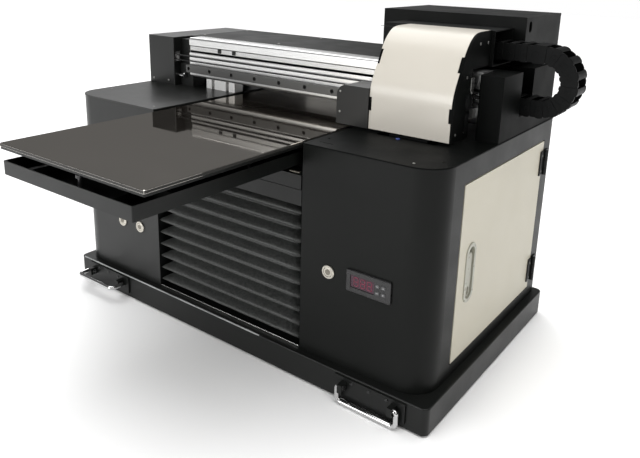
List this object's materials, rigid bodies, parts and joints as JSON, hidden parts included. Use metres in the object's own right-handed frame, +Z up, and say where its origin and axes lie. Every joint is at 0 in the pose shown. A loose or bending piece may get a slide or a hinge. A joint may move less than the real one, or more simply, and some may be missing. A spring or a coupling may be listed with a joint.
{
  "type": "flatbed UV printer",
  "caption": "Desktop flatbed UV printer with a sliding glass table, bellows front, open print beam, cream carriage and drag chain.",
  "frame": {"origin": "centre of the base's footprint, on the floor", "axes": "+X along the print beam to the carriage's parking end, +Y from the front to the back, +Z up"},
  "size_m": [0.8725, 0.774, 0.565],
  "materials": {
    "black_powder_coat": "fine textured black powder coat",
    "cream_paint": "smooth satin cream paint",
    "anodised_aluminium": "clear anodised, brushed along the length",
    "ground_steel": "ground bearing steel",
    "chrome_rod": "bright chrome",
    "bellows_fabric": "coated bellows cloth",
    "black_plastic": "matt moulded black",
    "controller_plastic": "semi-gloss instrument case",
    "key_plastic": "smooth grey keys",
    "rubber": "black rubber",
    "glass_bed": "dark toughened glass, polished edge",
    "button_metal": "turned stainless steel"
  },
  "bodies": {
    "chassis": {"base_tray": "black_powder_coat", "rubber_feet": "rubber", "left_cabinet": "black_powder_coat", "left_top_plate": "black_powder_coat", "right_cabinet": "black_powder_coat", "right_top_plate": "black_powder_coat", "rear_panel": "black_powder_coat", "door_hinge_leaves": "black_powder_coat", "button_bezels": "button_metal", "temperature_controller": "controller_plastic", "power_inlet": "black_plastic", "lift_tower": "anodised_aluminium", "gantry_beam": "anodised_aluminium", "beam_supports": "anodised_aluminium", "linear_rail": "ground_steel", "gantry_left_cover": "black_powder_coat", "gantry_right_cover": "black_powder_coat", "gantry_top_cover": "black_powder_coat", "gantry_rear_cover": "black_powder_coat", "carriage_belt": "rubber", "carriage_motor": "black_powder_coat", "capping_station": "black_plastic", "handle_plates": "black_powder_coat"},
    "door": {"cabinet_door": "cream_paint", "door_latch_cup": "black_plastic", "door_hinge_arms": "black_powder_coat"},
    "latch": {"door_latch_lever": "black_plastic"},
    "button_outer": {"left_button_outer": "button_metal"},
    "button_inner": {"left_button_inner": "button_metal"},
    "button_right": {"right_button": "button_metal"},
    "key_ul": {"key_upper_left": "key_plastic"},
    "key_ur": {"key_upper_right": "key_plastic"},
    "key_ll": {"key_lower_left": "key_plastic"},
    "key_lr": {"key_lower_right": "key_plastic"},
    "lift": {"lift_platform": "black_powder_coat", "lift_guide_shafts": "ground_steel", "bellows_top_strip": "black_powder_coat", "table_blocks": "ground_steel", "front_bellows": "bellows_fabric"},
    "table": {"table_frame": "black_powder_coat", "table_rails": "ground_steel", "table_posts": "ground_steel", "bed_plate": "anodised_aluminium", "glass_bed": "glass_bed"},
    "carriage": {"carriage_blocks": "ground_steel", "carriage_plate": "anodised_aluminium", "print_head": "black_plastic", "carriage_cover": "cream_paint", "carriage_side_plates": "black_powder_coat", "carriage_top_housing": "black_powder_coat", "uv_lamp_housing": "black_powder_coat", "uv_lamp_module": "anodised_aluminium", "ink_box": "black_powder_coat"},
    "chain": {"cable_chain": "black_plastic"},
    "idler": {"belt_idler_pulley": "anodised_aluminium"},
    "drive": {"belt_drive_pulley": "anodised_aluminium"},
    "grip_fl": {"handle_front_left": "chrome_rod"},
    "grip_fr": {"handle_front_right": "chrome_rod"},
    "grip_rl": {"handle_rear_left": "chrome_rod"},
    "grip_rr": {"handle_rear_right": "chrome_rod"}
  },
  "joints": [
    {"name": "carriage_slide", "type": "slide", "parent": "chassis", "child": "carriage", "axis": [-1, 0, 0], "range_m": [0, 0.4]},
    {"name": "chain_slide", "type": "slide", "parent": "chassis", "child": "chain", "axis": [-1, 0, 0], "range_m": [0, 0.2]},
    {"name": "lift_slide", "type": "slide", "parent": "chassis", "child": "lift", "axis": [0, 0, 1], "range_m": [-0.1, 0], "deforming": ["front_bellows"]},
    {"name": "table_slide", "type": "slide", "parent": "lift", "child": "table", "axis": [0, 1, 0], "range_m": [0, 0.4]},
    {"name": "door_hinge", "type": "hinge", "parent": "chassis", "child": "door", "pos_m": [0.3916, 0.1876, 0.2075], "axis": [0, 0, 1], "range_deg": [0, 110]},
    {"name": "latch_hinge", "type": "hinge", "parent": "door", "child": "latch", "pos_m": [0.3842, -0.0985, 0.2325], "axis": [0, -1, 0], "range_deg": [0, 35]},
    {"name": "button_outer_press", "type": "slide", "parent": "chassis", "child": "button_outer", "axis": [0, 1, 0], "range_m": [0, 0.002], "stiffness_N_per_m": 600},
    {"name": "button_inner_press", "type": "slide", "parent": "chassis", "child": "button_inner", "axis": [0, 1, 0], "range_m": [0, 0.002], "stiffness_N_per_m": 600},
    {"name": "button_right_press", "type": "slide", "parent": "chassis", "child": "button_right", "axis": [0, 1, 0], "range_m": [0, 0.002], "stiffness_N_per_m": 600},
    {"name": "key_ul_press", "type": "slide", "parent": "chassis", "child": "key_ul", "axis": [0, 1, 0], "range_m": [0, 0.0008], "stiffness_N_per_m": 500},
    {"name": "key_ur_press", "type": "slide", "parent": "chassis", "child": "key_ur", "axis": [0, 1, 0], "range_m": [0, 0.0008], "stiffness_N_per_m": 500},
    {"name": "key_ll_press", "type": "slide", "parent": "chassis", "child": "key_ll", "axis": [0, 1, 0], "range_m": [0, 0.0008], "stiffness_N_per_m": 500},
    {"name": "key_lr_press", "type": "slide", "parent": "chassis", "child": "key_lr", "axis": [0, 1, 0], "range_m": [0, 0.0008], "stiffness_N_per_m": 500},
    {"name": "grip_fl_hinge", "type": "hinge", "parent": "chassis", "child": "grip_fl", "pos_m": [-0.307, -0.243, 0.03], "axis": [1, 0, 0], "range_deg": [0, 90]},
    {"name": "grip_fr_hinge", "type": "hinge", "parent": "chassis", "child": "grip_fr", "pos_m": [0.307, -0.243, 0.03], "axis": [-1, 0, 0], "range_deg": [0, 90]},
    {"name": "grip_rl_hinge", "type": "hinge", "parent": "chassis", "child": "grip_rl", "pos_m": [-0.307, 0.243, 0.03], "axis": [1, 0, 0], "range_deg": [0, 90]},
    {"name": "grip_rr_hinge", "type": "hinge", "parent": "chassis", "child": "grip_rr", "pos_m": [0.307, 0.243, 0.03], "axis": [1, 0, 0], "range_deg": [0, 90]},
    {"name": "idler_spin", "type": "hinge", "parent": "chassis", "child": "idler", "pos_m": [-0.345, -0.0287, 0.4463], "axis": [0, 1, 0], "range_deg": [-4600, 4600]},
    {"name": "drive_spin", "type": "hinge", "parent": "chassis", "child": "drive", "pos_m": [0.368, -0.0287, 0.4463], "axis": [0, 1, 0], "range_deg": [-4600, 4600]}
  ],
  "couplings": [
    {"joint": "chain_slide", "follows": "carriage_slide", "ratio": 0.5},
    {"joint": "idler_spin", "follows": "carriage_slide", "rad_per_m": -196.46},
    {"joint": "drive_spin", "follows": "carriage_slide", "rad_per_m": -196.46}
  ]
}
